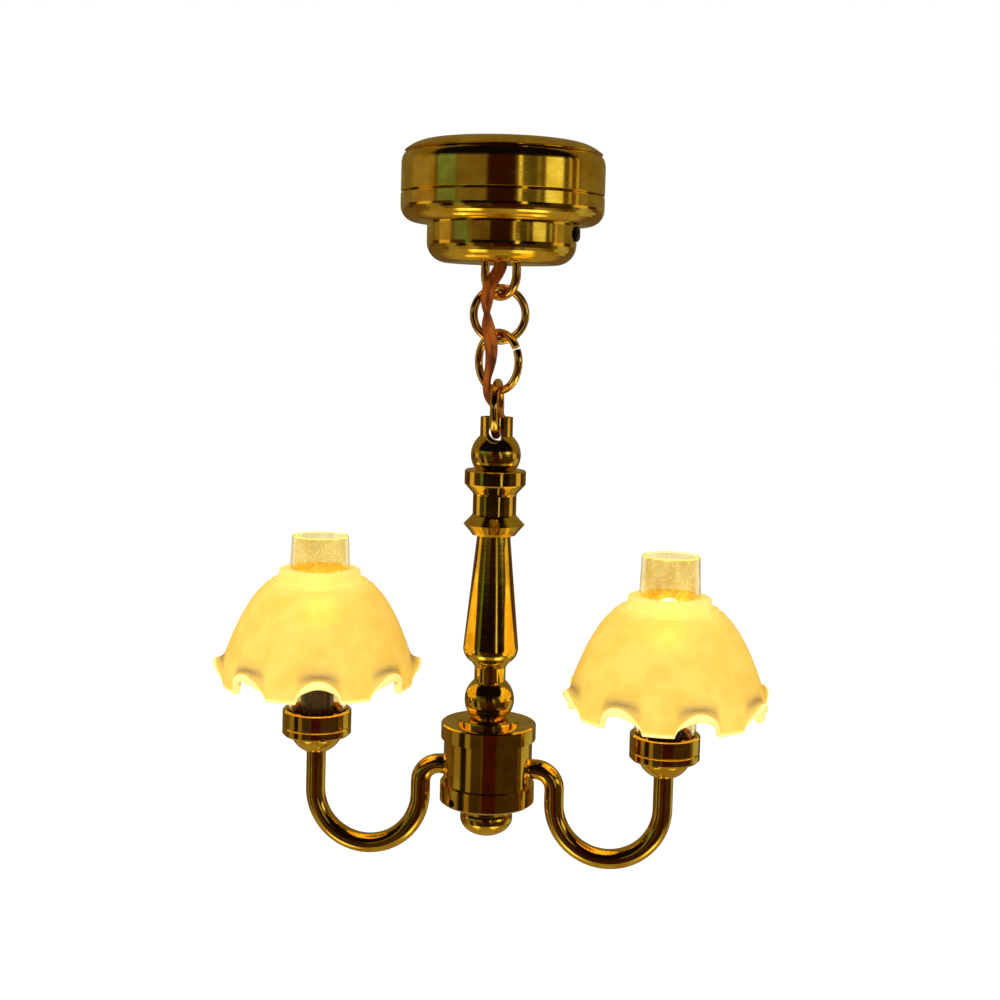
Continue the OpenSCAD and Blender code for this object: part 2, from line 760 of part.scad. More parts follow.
// One turn of the shade's outline at direction a, down the outside and up the inside.
function shade_outline(a) =
    let (
        collar_r = shade_collar_d / 2,
        body_r = shade_d / 2,
        w = shade_wall,
        bore = chimney_d[1] / 2 + fit,
        c = scallop(a),
        skirt_z = -shade_h * 0.74,
        rim_z = -shade_h + c * scallop_rise,
        rim_r = body_r + 0.2 + c * scallop_flare,
        steps = [0.08, 0.28, 0.48, 0.66, 0.84, 1]
    )
    concat(
        [[bore, 0], [collar_r - 0.3, 0], [collar_r, -0.3], [collar_r, -1.05], [collar_r - 0.2, -1.25]],
        [for (u = steps) [bell_r(u, collar_r, body_r), -1.35 + (skirt_z + 1.35) * u * u]],
        [[(body_r + rim_r) / 2 - 0.1 * c, (skirt_z + rim_z) / 2], [rim_r, rim_z], [rim_r - w, rim_z],
            [(body_r + rim_r) / 2 - 0.1 * c - w, (skirt_z + rim_z) / 2]],
        [for (i = [len(steps) - 1 : -1 : 0]) let (u = steps[i])
            [bell_r(u, collar_r, body_r) - w * (0.75 + 0.25 * u),
                -1.35 - w * (1 - u) + (skirt_z + 1.35) * u * u]],
        [[bore, -2]]
    );

module shade(side) {
    turns = 8 * scallops;
    outlines = [for (k = [0 : turns - 1]) shade_outline(360 * k / turns)];
    m = len(outlines[0]);
    points = [for (k = [0 : turns - 1], p = outlines[k])
        let (a = 360 * k / turns) [p[0] * cos(a), p[0] * sin(a), p[1]]];
    faces = [for (k = [0 : turns - 1], i = [0 : m - 1])
        let (
            a = k * m + i,
            b = k * m + (i + 1) % m,
            c = ((k + 1) % turns) * m + (i + 1) % m,
            d = ((k + 1) % turns) * m + i
        )
        each [[a, b, c], [a, c, d]]];
    color(frost)
        translate([0, 0, collar_top_z(side)]) rotate(shade_turn[side])
            polyhedron(points, faces, convexity = 8);
}

module cup_right() at_lamp() cup(RIGHT);
module cup_left() on_left() at_lamp() cup(LEFT);
module cup_ring_right() at_lamp() cup_ring(RIGHT);
module cup_ring_left() on_left() at_lamp() cup_ring(LEFT);
module led_sleeve_right() at_lamp() led_sleeve(RIGHT);
module led_sleeve_left() on_left() at_lamp() led_sleeve(LEFT);
module led_right() at_lamp() led(RIGHT);
module led_left() on_left() at_lamp() led(LEFT);
module chimney_right() at_lamp() chimney(RIGHT);
module chimney_left() on_left() at_lamp() chimney(LEFT);
module shade_right() at_lamp() shade(RIGHT);
module shade_left() translate([-lamp_x, 0, 0]) shade(LEFT);

ceiling_cap();
ceiling_magnet();
canopy_drum();
keeper_ring();
battery_holder();
coin_cell();
cell_clip();
cell_spring();
circuit_board();
resistor();
switch_body();
switch_lever();
staple();
lead_grommet();
chain_ring_1();
chain_ring_2();
chain_ring_3();
lead_core_a();
lead_core_b();
eye_stub();
column_collar();
baluster();
hub_flange();
hub_cap();
hub_drum();
hub_base();
tie_tube();
tie_nut();
set_screw();
finial();
arm_right();
arm_left();
arm_lead_right();
arm_lead_left();
cup_right();
cup_left();
cup_ring_right();
cup_ring_left();
led_sleeve_right();
led_sleeve_left();
led_right();
led_left();
chimney_right();
chimney_left();
shade_right();
shade_left();
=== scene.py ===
import math

import bpy
from mathutils import Matrix, Vector


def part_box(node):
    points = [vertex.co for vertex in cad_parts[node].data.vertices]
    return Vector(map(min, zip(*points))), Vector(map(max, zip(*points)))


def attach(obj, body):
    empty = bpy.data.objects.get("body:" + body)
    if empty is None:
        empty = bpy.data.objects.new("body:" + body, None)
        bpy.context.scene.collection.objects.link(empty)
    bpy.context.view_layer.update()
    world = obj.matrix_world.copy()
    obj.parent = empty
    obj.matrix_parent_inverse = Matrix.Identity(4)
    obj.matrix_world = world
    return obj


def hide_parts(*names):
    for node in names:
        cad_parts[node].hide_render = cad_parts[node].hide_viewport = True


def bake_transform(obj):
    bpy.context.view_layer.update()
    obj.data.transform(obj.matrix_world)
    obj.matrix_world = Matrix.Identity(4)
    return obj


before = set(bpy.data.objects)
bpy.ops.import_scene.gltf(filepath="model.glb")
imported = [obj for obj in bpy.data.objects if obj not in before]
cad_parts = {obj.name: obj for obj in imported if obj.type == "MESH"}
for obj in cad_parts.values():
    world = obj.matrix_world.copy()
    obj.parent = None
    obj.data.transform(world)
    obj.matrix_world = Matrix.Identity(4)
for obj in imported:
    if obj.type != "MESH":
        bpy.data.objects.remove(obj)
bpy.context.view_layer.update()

MM = 0.001


# ---- Camera ----

CAMERA_TURN = 7.0          # towards the right arm
CAMERA_DISTANCE = 164.3
CAMERA_HEIGHT = -18.71
CAMERA_PITCH = 3.5
CAMERA_ROLL = 1.55
CAMERA_AIM = 0.11          # a little to the right of the column
LENS = 54.43
SHIFT_UP = -0.0905


def turned(axis, degrees):
    return Matrix.Rotation(math.radians(degrees), 3, axis)


def add_camera():
    data = bpy.data.cameras.new("camera")
    data.sensor_width = 36
    data.lens = LENS
    data.shift_y = SHIFT_UP
    data.clip_start = 0.005
    data.clip_end = 20
    camera = bpy.data.objects.new("camera", data)
    bpy.context.scene.collection.objects.link(camera)
    away = turned("Z", CAMERA_TURN) @ Vector((0, -CAMERA_DISTANCE, 0))
    camera.location = (away + Vector((0, 0, CAMERA_HEIGHT))) * MM
    aim = turned("Z", CAMERA_TURN - CAMERA_AIM) @ turned("X", 90 - CAMERA_PITCH)
    camera.rotation_euler = (aim @ turned("Z", CAMERA_ROLL)).to_euler()
    bpy.context.scene.camera = camera


# ---- Nodes ----

def add(tree, kind, inputs=None, **settings):
    """A shader node. An input that is a socket is linked, and any other is a plain value."""
    node = tree.nodes.new(kind)
    for name, value in settings.items():
        setattr(node, name, value)
    for key, value in (inputs or {}).items():
        if isinstance(value, bpy.types.NodeSocket):
            tree.links.new(value, node.inputs[key])
        else:
            node.inputs[key].default_value = value
    return node


def maths(tree, operation, *values):
    node = add(tree, "ShaderNodeMath", dict(enumerate(values)), operation=operation)
    return node.outputs[0]


def spread(tree, value, low, high, to_low=0.0, to_high=1.0, smooth=True):
    """value from low to high, turned into to_low to to_high and held there beyond."""
    inputs = {"Value": value, "From Min": low, "From Max": high,
              "To Min": to_low, "To Max": to_high}
    kind = "SMOOTHSTEP" if smooth else "LINEAR"
    return add(tree, "ShaderNodeMapRange", inputs, interpolation_type=kind).outputs["Result"]


def mixed(tree, share, first, second, blend="MIX"):
    inputs = {"Fac": share, "Color1": first, "Color2": second}
    return add(tree, "ShaderNodeMixRGB", inputs, blend_type=blend).outputs["Color"]


def rgb(red, green, blue):
    """A colour given as it shows, from 0 to 255, as the linear value that shaders use."""
    def linear(c):
        c /= 255
        return c / 12.92 if c <= 0.04045 else ((c + 0.055) / 1.055) ** 2.4
    return (linear(red), linear(green), linear(blue), 1)


def look(name, **sockets):
    """A new material with one Principled shader, and that shader's node tree."""
    material = bpy.data.materials.new(name)
    material.use_nodes = True
    tree = material.node_tree
    shader = tree.nodes["Principled BSDF"]
    for key, value in sockets.items():
        shader.inputs[key.replace("_", " ")].default_value = value
    return material, tree, shader


def place(tree, scale=(1, 1, 1)):
    """The place on the object, which stays with the piece when it moves."""
    at = add(tree, "ShaderNodeTexCoord").outputs["Object"]
    return add(tree, "ShaderNodeMapping", {"Vector": at, "Scale": scale}).outputs["Vector"]


def noise(tree, size, detail=2.0, stretch=(1, 1, 1)):
    """Noise with features about size millimetres across, divided by stretch along each axis."""
    inputs = {"Vector": place(tree, stretch), "Scale": 1 / (size * MM), "Detail": detail}
    return add(tree, "ShaderNodeTexNoise", inputs).outputs["Fac"]


def bump(tree, shader, height, depth, normal=None):
    """depth is in millimetres."""
    inputs = {"Height": height, "Distance": depth * MM, "Strength": 1.0}
    if normal is not None:
        inputs["Normal"] = normal
    node = add(tree, "ShaderNodeBump", inputs)
    tree.links.new(node.outputs["Normal"], shader.inputs["Normal"])
    return node.outputs["Normal"]


def feed(tree, shader, name, value):
    tree.links.new(value, shader.inputs[name])


# ---- Finishes ----

def brass(name, light, dark, rough, lines):
    """Polished plating. lines is the stretch that draws its fine tool marks out: along Z for a
    turned piece they run round it, because they change quickly with height."""
    material, tree, shader = look(name, Metallic=1.0)
    cloud = spread(tree, noise(tree, 2.2, 3.0), 0.38, 0.66)
    feed(tree, shader, "Base Color", mixed(tree, cloud, light, dark))
    marks = noise(tree, 0.5, 3.0, lines)
    feed(tree, shader, "Roughness", spread(tree, marks, 0.3, 0.75, rough, rough * 2.1))
    first = bump(tree, shader, marks, 0.0016)
    bump(tree, shader, noise(tree, 0.28, 2.0), 0.0012, first)
    return material


def steel():
    material, tree, shader = look("nickel_steel", Metallic=1.0)
    cloud = noise(tree, 3, 2)
    feed(tree, shader, "Base Color", mixed(tree, cloud, rgb(205, 205, 208), rgb(165, 165, 172)))
    feed(tree, shader, "Roughness", spread(tree, noise(tree, 0.6, 3), 0.3, 0.7, 0.18, 0.36))
    return material


def plastic(name, colour, rough):
    material, tree, shader = look(name)
    paler = tuple(min(1, c * 1.5 + 0.004) for c in colour[:3]) + (1,)
    cloud = spread(tree, noise(tree, 0.8, 3), 0.4, 0.7)
    feed(tree, shader, "Base Color", mixed(tree, cloud, colour, paler))
    grain = noise(tree, 0.3, 2)
    feed(tree, shader, "Roughness", spread(tree, grain, 0.3, 0.7, rough, rough + 0.15))
    bump(tree, shader, noise(tree, 0.12, 2), 0.002)
    return material


def insulation():
    """Orange-brown insulation with lengthwise streaks, a little translucent."""
    material, tree, shader = look("lead_insulation", Roughness=0.36, Coat_Weight=0.2,
                                  Specular_IOR_Level=0.3)
    streak = spread(tree, noise(tree, 1.4, 2.0, (1.6, 1.6, 0.5)), 0.3, 0.75)
    feed(tree, shader, "Base Color", mixed(tree, streak, rgb(172, 88, 10), rgb(96, 36, 3)))
    shader.inputs["Subsurface Weight"].default_value = 0.15
    shader.inputs["Subsurface Radius"].default_value = (0.9, 0.35, 0.1)
    shader.inputs["Subsurface Scale"].default_value = 0.4 * MM
    bump(tree, shader, noise(tree, 0.8, 2), 0.004)
    return material


def shaded_sleeve():
    """The brass sleeve, coloured dark brown as painted shade, under a clear coat, with lengthwise
    streaks that are painted reflections.
    """
    material, tree, shader = look("sleeve_painted_shade", Coat_Weight=0.3)
    streak = spread(tree, noise(tree, 0.5, 3.0, (1.6, 1.6, 0.16)), 0.4, 0.66)
    # painted shade and painted reflections: dark brown, with lengthwise streaks
    feed(tree, shader, "Base Color", mixed(tree, streak, rgb(70, 38, 18), rgb(20, 10, 5)))
    feed(tree, shader, "Roughness", spread(tree, streak, 0, 1, 0.24, 0.5))
    return material


def lit_lens():
    material, tree, shader = look("led_lens", Roughness=0.2)
    glow = spread(tree, noise(tree, 1.2, 1.0), 0.3, 0.7)
    colour = mixed(tree, glow, rgb(255, 236, 170), rgb(255, 214, 120))
    feed(tree, shader, "Base Color", colour)
    feed(tree, shader, "Emission Color", colour)
    shader.inputs["Emission Strength"].default_value = 9.0
    return material


def seeded_glass(top):
    """Clear tube with a warm cast, and fine seeds below its rim at height top. It has a painted
    glow: faint in its top few millimetres, with painted glints on the seeds and a painted
    highlight on the up-facing faces of its rim.
    """
    material, tree, shader = look("chimney_glass", Roughness=0.04, IOR=1.18)
    shader.inputs["Transmission Weight"].default_value = 1.0
    cast = spread(tree, noise(tree, 1.6, 3.0, (1, 1, 0.6)), 0.35, 0.68)
    feed(tree, shader, "Base Color", mixed(tree, cast, rgb(244, 228, 178), rgb(222, 202, 148)))
    seeds = add(tree, "ShaderNodeTexVoronoi", {"Vector": place(tree), "Scale": 1 / (0.42 * MM)})
    seed_dots_and_glints = spread(tree, seeds.outputs["Distance"], 0.10, 0.20, 1.0, 0.0)
    height = add(tree, "ShaderNodeSeparateXYZ", {0: place(tree)}).outputs["Z"]
    high = spread(tree, height, top - 9 * MM, top - 7 * MM)
    seed_dots_and_glints = maths(tree, "MULTIPLY", seed_dots_and_glints, high)
    normal = add(tree, "ShaderNodeTexCoord").outputs["Normal"]
    up = add(tree, "ShaderNodeSeparateXYZ", {0: normal}).outputs["Z"]
    # painted highlight: the up-facing faces of the rim glow yellow
    rim = spread(tree, up, 0.4, 0.8)
    # painted glow: faint emission in the top few millimetres, and painted glints on the seeds
    painted_glow = mixed(tree, high, (0, 0, 0, 1), (0.05, 0.035, 0, 1))
    painted_glow = mixed(tree, seed_dots_and_glints, painted_glow, rgb(230, 196, 110))
    feed(tree, shader, "Emission Color", mixed(tree, rim, painted_glow, rgb(255, 226, 84)))
    shader.inputs["Emission Strength"].default_value = 0.8
    first = bump(tree, shader, noise(tree, 1.1, 2.0), 0.05)
    bump(tree, shader, seed_dots_and_glints, 0.02, first)
    return material


def frosted_shade(lamp):
    """Frosted glass with a painted glow from the LED at its collar: emission and base colour are
    painted brightest beside the LED and dimmer away from it. lamp is where that glow starts.
    """
    material, tree, shader = look("shade_frost_" + lamp.name, Roughness=0.45, IOR=1.4)
    shader.inputs["Transmission Weight"].default_value = 0.28
    at = add(tree, "ShaderNodeTexCoord").outputs["Object"]
    off = add(tree, "ShaderNodeVectorMath", {0: at, 1: lamp.centre}, operation="DISTANCE")
    far = spread(tree, off.outputs["Value"], 3.5 * MM, 13 * MM, 0.0, 1.0, smooth=False)
    lip = add(tree, "ShaderNodeAttribute", attribute_name="lip").outputs["Fac"]
    fold_painted_shade = add(tree, "ShaderNodeAttribute", attribute_name="fold_painted_shade").outputs["Fac"]
    cloud = spread(tree, noise(tree, 2.4, 4.0), 0.35, 0.7)
    # painted light: the base colour is brighter beside the LED and dimmer farther from it
    painted_lit_near = mixed(tree, cloud, rgb(250, 218, 108), rgb(246, 206, 84))
    painted_dim_far = mixed(tree, cloud, rgb(238, 208, 112), rgb(224, 190, 88))
    body = mixed(tree, far, painted_lit_near, painted_dim_far)
    # painted shade: the wall is greyed in each scallop's curl
    body = mixed(tree, fold_painted_shade, body, rgb(164, 142, 92))
    body = mixed(tree, lip, body, rgb(255, 236, 166))
    feed(tree, shader, "Base Color", body)
    # painted glow: the whole shade emits, most round the collar beside the LED
    collar = spread(tree, off.outputs["Value"], 4 * MM, 6.5 * MM, 1.0, 0.0)
    glow = mixed(tree, far, (0.26, 0.18, 0.035, 1), (0.3, 0.2, 0.02, 1))
    glow = mixed(tree, collar, glow, (0.33, 0.34, 0.13, 1))
    # painted shade: the glow is almost put out in the curl too
    glow = mixed(tree, fold_painted_shade, glow, (0.02, 0.013, 0.012, 1))
    # painted highlight: the lip glows brighter along the edge
    glow = mixed(tree, lip, glow, (0.42, 0.32, 0.10, 1))
    feed(tree, shader, "Emission Color", glow)
    shader.inputs["Emission Strength"].default_value = 1.0
    first = bump(tree, shader, noise(tree, 0.22, 2.0), 0.012)
    bump(tree, shader, noise(tree, 2.6, 2.0, (1, 1, 2.2)), 0.10, first)
    return material


def paint(material, *names):
    for name in names:
        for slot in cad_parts[name].material_slots:
            slot.material = material


def dress_cad_nodes():
    turned_gold = brass("turned_gold", rgb(248, 214, 84), rgb(230, 186, 60), 0.07, (0.12, 0.12, 4))
    drawn_gold = brass("drawn_gold", rgb(248, 212, 84), rgb(230, 182, 58), 0.085, (1, 1, 1))
    wire_gold = brass("wire_gold", rgb(254, 216, 116), rgb(240, 184, 84), 0.06, (1, 1, 1))
    paint(turned_gold, "ceiling_cap", "canopy_drum", "eye_stub", "column_collar", "baluster",
          "hub_flange", "hub_cap", "hub_drum", "hub_base", "finial", "cup_right", "cup_left",
          "cup_ring_right", "cup_ring_left", "tie_tube")
    paint(drawn_gold, "arm_right", "arm_left", "cell_clip")
    paint(wire_gold, "staple", "chain_ring_1", "chain_ring_2", "chain_ring_3")
    paint(steel(), "ceiling_magnet", "keeper_ring", "coin_cell", "cell_spring", "tie_nut")
    paint(plastic("black_moulding", rgb(26, 26, 28), 0.42), "battery_holder", "resistor",
          "switch_body", "lead_grommet")
    paint(plastic("black_gloss", rgb(12, 12, 13), 0.14), "switch_lever", "set_screw")
    paint(plastic("board_green", rgb(26, 92, 46), 0.3), "circuit_board")
    paint(insulation(), "arm_lead_right", "arm_lead_left")
    paint(shaded_sleeve(), "led_sleeve_right", "led_sleeve_left")
    paint(lit_lens(), "led_right", "led_left")
    paint(seeded_glass(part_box("chimney_left")[1].z), "chimney_right", "chimney_left")


# ---- Meshes ----

def mesh_piece(name, points, faces, material):
    """A smooth-shaded piece from points in millimetres."""
    mesh = bpy.data.meshes.new(name)
    mesh.from_pydata([Vector(p) * MM for p in points], [], faces)
    mesh.validate()
    mesh.shade_smooth()
    mesh.materials.append(material)
    piece = bpy.data.objects.new(name, mesh)
    bpy.context.scene.collection.objects.link(piece)
    return piece


def loop_faces(rows, columns, closed_rows):
    """Quads over a grid of points whose columns close on themselves, and its rows too if asked."""
    faces = []
    for i in range(rows if closed_rows else rows - 1):
        for k in range(columns):
            a, b = i * columns + k, i * columns + (k + 1) % columns
            c, d = (i + 1) % rows * columns + (k + 1) % columns, (i + 1) % rows * columns + k
            faces.append((a, b, c, d))
    return faces


# ---- Shades ----

SCALLOPS = 8
SHADE_TURNS = {"right": -71, "left": -76}
SHADE_COLLAR_R = 4.53
SHADE_BORE_R = 3.38
SHADE_BODY_R = 10.2
SKIRT_Z = -9.32            # where the bell ends and the frill starts, from the collar's top
WALL = 0.9
LOBE_RUN = 3.3             # length of wall below the skirt at a lobe, and at the top of a scallop
ARCH_RUN = 1.45
SCALLOP_SHARE = 0.29       # half of a scallop's width, as a share of its pitch
BELL_TOP_Z = -1.4          # where the bell starts, from the collar's top
BELL_LEAN = 19.6           # how far the wall leans out from straight down, where the bell ends
LOBE_LEAN = 3              # how far it leans at the foot of a lobe
CURL = 82                  # how much further it leans at the top of a scallop
# Rings round the top of the bell: share of the way down it, width as such a share, height.
RIDGES = [(0.11, 0.045, 0.24), (0.25, 0.04, 0.1)]
RIDGE_OUT = 0.6            # how far a ridge stands out, as a share of its height
INNER_TOP_Z = -2.4         # where the bore meets the inside of the bell
BORE_STEP = 0.3            # how far outside the bore the bell's inner wall stops
GLOW_DROP = 2.2            # from the collar's top to the middle of the painted glow
LIP_BULGE = 0.62           # how far the lip stands out, as a share of half the wall
LIP_TINT = 0.7             # share of the lip's colour and painted highlight beside it, and what it loses each point on
LIP_FADE = 0.35
FOLD_AT = 5                # where the wall is painted dark, as shade in a scallop's curl, in steps below the skirt
FOLD_REACH = 8
BELL_STEPS = 34
FRILL_STEPS = 14
LIP_STEPS = 5
SHADE_COLUMNS = 400


class Lamp:
    """Where one lamp's shade is: its axis from the chimney's box, its top from the CAD shade's."""
    def __init__(self, name):
        low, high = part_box("chimney_" + name)
        self.name = name
        self.x = (low.x + high.x) / 2 / MM
        self.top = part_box("shade_" + name)[1].z / MM
        # the middle of the shade's painted glow, on its axis below the collar's top
        self.centre = (self.x * MM, 0, (self.top - GLOW_DROP) * MM)


def scallop(angle):
    """1 at the top of a scallop, 0 on the lobes."""
    t = angle * SCALLOPS / 360
    d = abs(t - round(t))
    return 0 if d >= SCALLOP_SHARE else (1 - (d / SCALLOP_SHARE) ** 2) ** 0.6


def bell_points():
    """The outside of the collar and bell as (r, z), down to the skirt."""
    collar = [(SHADE_BORE_R, 0), (4.05, 0), (4.28, -0.05), (4.45, -0.18), (SHADE_COLLAR_R, -0.42),
              (SHADE_COLLAR_R, -0.86), (4.47, -1.06), (4.36, -1.2), (4.42, -1.36)]
    bell = []
    for i in range(1, BELL_STEPS + 1):
        u = i / BELL_STEPS
        ridge = sum(height * math.exp(-((u - at) / width) ** 2) for at, width, height in RIDGES)
        r = SHADE_COLLAR_R + (SHADE_BODY_R - SHADE_COLLAR_R) * u
        bell.append((r + ridge * RIDGE_OUT, BELL_TOP_Z + (SKIRT_Z - BELL_TOP_Z) * u * u + ridge))
    return collar, bell


def frill_points(start, lift):
    """The outside of the wall below the skirt. It turns down at a lobe, out at a scallop."""
    r, z = start
    run = LOBE_RUN + (ARCH_RUN - LOBE_RUN) * lift ** 0.8
    end = LOBE_LEAN + CURL * lift
    points = []
    for i in range(1, FRILL_STEPS + 1):
        s = i / FRILL_STEPS
        ease = s * s * (3 - 2 * s)
        lobe = BELL_LEAN * (1 - s) ** 2 + LOBE_LEAN * s
        arch = end * ease + BELL_LEAN * (1 - ease)
        lean = lobe * (1 - lift) + arch * lift
        step = run / FRILL_STEPS
        r += step * math.sin(math.radians(lean))
        z -= step * math.cos(math.radians(lean))
        points.append((r, z))
    return points


def offset(points, distance):
    """The line of points moved to its inner side."""
    moved = []
    for i, (r, z) in enumerate(points):
        (r0, z0), (r1, z1) = points[max(i - 1, 0)], points[min(i + 1, len(points) - 1)]
        length = math.hypot(r1 - r0, z1 - z0)
        moved.append((r + (z1 - z0) / length * distance, z - (r1 - r0) / length * distance))
    return moved


def shade_outline(lift):
    """One closed outline of the shade, with the share of lip and its painted highlight, and of
    painted shade in a scallop's curl, at each of its points.
    """
    collar, bell = bell_points()
    outer = bell + frill_points(bell[-1], lift)
    inner = offset(outer, WALL)
    (ro, zo), (ri, zi) = outer[-1], inner[-1]
    middle = ((ro + ri) / 2, (zo + zi) / 2)
    start = math.atan2(zo - middle[1], ro - middle[0])
    ax, ay = math.cos(start), math.sin(start)
    lip = []
    for i in range(1, LIP_STEPS + 1):
        a = -math.pi * i / (LIP_STEPS + 1)
        across, along = math.cos(a), LIP_BULGE * math.sin(a)
        lip.append((middle[0] + WALL / 2 * (across * ax - along * ay),
                    middle[1] + WALL / 2 * (across * ay + along * ax)))
    inside = [p for p in reversed(inner) if p[0] > SHADE_BORE_R + BORE_STEP]
    inside.append((SHADE_BORE_R, INNER_TOP_Z))
    outline = collar + outer + lip + inside
    lip_and_highlight_shares, fold_painted_shades = [], []
    first_lip = len(collar) + len(outer)
    for i in range(len(outline)):
        to_lip = min(abs(i - first_lip), abs(i - first_lip - LIP_STEPS + 1))
        on_lip = first_lip - 1 <= i <= first_lip + LIP_STEPS
        # the lip's share, also of its painted highlight
        lip_and_highlight_shares.append(1.0 if on_lip else max(0.0, LIP_TINT - LIP_FADE * to_lip))
        below_skirt = i - (len(collar) + len(bell))
        # painted shade: how much the wall is darkened in a scallop's curl
        shade = max(0.0, 1 - abs(below_skirt - FOLD_AT) / FOLD_REACH)
        fold_painted_shades.append(lift * shade if i < first_lip else 0.0)
    return outline, lip_and_highlight_shares, fold_painted_shades


def add_shade(lamp):
    points, lip_and_highlight_shares, fold_painted_shades = [], [], []
    rows = 0
    for k in range(SHADE_COLUMNS):
        angle = 360 * k / SHADE_COLUMNS
        outline, lip, fold_painted_shade = shade_outline(scallop(angle))
        rows = len(outline)
        a = math.radians(angle + SHADE_TURNS[lamp.name])
        points += [(lamp.x + r * math.cos(a), r * math.sin(a), lamp.top + z) for r, z in outline]
        lip_and_highlight_shares += lip
        fold_painted_shades += fold_painted_shade
    piece = mesh_piece("frilled_shade_" + lamp.name, points, loop_faces(SHADE_COLUMNS, rows, True),
                       frosted_shade(lamp))
    for name, values in (("lip", lip_and_highlight_shares), ("fold_painted_shade", fold_painted_shades)):
        piece.data.attributes.new(name, "FLOAT", "POINT").data.foreach_set("value", values)
    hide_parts("shade_" + lamp.name)
    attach(piece, "pendant")


# ---- Twin lead ----

# The middle of the pair and its turn, as in the CAD source: x, y, z, degrees.
LEAD = [
    (0, 0, -11.4, 0), (0, 0, -12.4, 0), (-0.05, 0, -13.2, 0), (-0.35, -0.25, -14, -5),
    (-0.75, -0.85, -14.8, -12), (-1.05, -1.3, -15.6, -18), (-1.2, -1.4, -16.4, -18),
    (-1.25, -1.4, -17, -38), (-1.25, -1.4, -17.5, -60), (-1.25, -1.35, -18, -82),
    (-1.2, -1.35, -18.5, -105), (-1.15, -1.35, -19, -130), (-1.1, -1.35, -19.5, -155),
    (-1, -1.3, -20, -178), (-0.9, -1.3, -20.6, -198), (-0.75, -1.25, -21.4, -198),
    (-0.65, -1.1, -22.3, -215), (-0.7, -0.9, -23.3, -232), (-0.85, -0.8, -24.3, -248),
    (-1.05, -0.8, -25.2, -260), (-1.1, -0.85, -26, -264), (-1.08, -0.85, -26.8, -267),
    (-0.85, -0.6, -27.6, -270), (-0.3, -0.2, -28.4, -270), (0.3, 0, -29.2, -270),
    (0.72, 0, -30, -270), (0.88, 0, -31, -270), (0.88, 0, -32, -270),
    (0.7, 0, -32.5, -270), (0.3, 0, -33, -270), (0.05, 0, -33.5, -272),
    (0, 0, -34.2, -280), (0, 0, -35.4, -310), (0, 0, -36.6, -340),
]
CORE_R = 0.35
CORE_PITCH = 0.74
LEAD_STEPS = 4             # points between two of the route's
LEAD_SIDES = 32
CORE_ARC = 304             # how much of each core's outline shows, in degrees
# Where each stretch of lead ends, and the heights between which it passes from body to body.
LEAD_STRETCHES = [
    ("lead_to_ring_1", "canopy", "ring_1", -11.4, -18.5, -14.4, -18.3),
    ("lead_to_ring_2", "ring_1", "ring_2", -18.5, -23.3, -19, -23),
    ("lead_to_ring_3", "ring_2", "ring_3", -23.3, -28.4, -24, -28),
    ("lead_to_column", "ring_3", "pendant", -28.4, -36.6, -28.8, -31.5),
]


def smooth_route():
    """The route's points with a Catmull-Rom curve drawn through them."""
    ends = [LEAD[0], *LEAD, LEAD[-1]]
    route = []
    for i in range(1, len(ends) - 2):
        p0, p1, p2, p3 = (Vector(p) for p in ends[i - 1:i + 3])
        for k in range(LEAD_STEPS):
            t = k / LEAD_STEPS
            route.append(0.5 * (2 * p1 + (p2 - p0) * t + (2 * p0 - 5 * p1 + 4 * p2 - p3) * t * t
                                + (3 * p1 - p0 - 3 * p2 + p3) * t ** 3))
    return route + [Vector(LEAD[-1])]


def lead_section(k):
    """Distance along the pair and across it, of point k of its figure-of-eight outline."""
    half = LEAD_SIDES // 2
    side = 1 if k < half else -1
    a = math.radians(-CORE_ARC / 2 + CORE_ARC * (k % half) / (half - 1))
    along = side * (CORE_PITCH / 2 + CORE_R * math.cos(a))
    return along, side * CORE_R * math.sin(a)


def add_lead(material):
    route = smooth_route()
    for name, above, below, top, bottom, start, end in LEAD_STRETCHES:
        picked = [i for i, p in enumerate(route) if bottom - 1e-6 <= p[2] <= top + 1e-6]
        points = []
        for i in picked:
            before, after = route[max(i - 1, 0)], route[min(i + 1, len(route) - 1)]
            heading = Vector(after[:3]) - Vector(before[:3])
            heading.normalize()
            u = Vector((0, 1, 0)).cross(heading).normalized()
            v = heading.cross(u)
            turn = math.radians(route[i][3])
            wide = math.cos(turn) * u + math.sin(turn) * v
            flat = heading.cross(wide)
            for k in range(LEAD_SIDES):
                along, across = lead_section(k)
                points.append(Vector(route[i][:3]) + wide * along + flat * across)
        faces = loop_faces(len(picked), LEAD_SIDES, False)
        if above == "canopy":
            faces.append(tuple(reversed(range(LEAD_SIDES))))
        if below == "pendant":
            faces.append(tuple(range(len(points) - LEAD_SIDES, len(points))))
        piece = mesh_piece(name, points, faces, material)
        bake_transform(piece)
        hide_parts("lead_core_a", "lead_core_b")


# ---- Studio ----

FLOOR_Z = -130
FLOOR_HALF = 3000          # half of the floor's side
FLOOR_WHITE = 1.12         # strength of the floor's own white
FLOOR_OWN = 0.86           # share of it that the camera and glass see; the rest keeps the shadow
PLAIN_LIGHT = (0.62, 0.6, 0.56, 1)
LAMPS_AIM_Z = -40
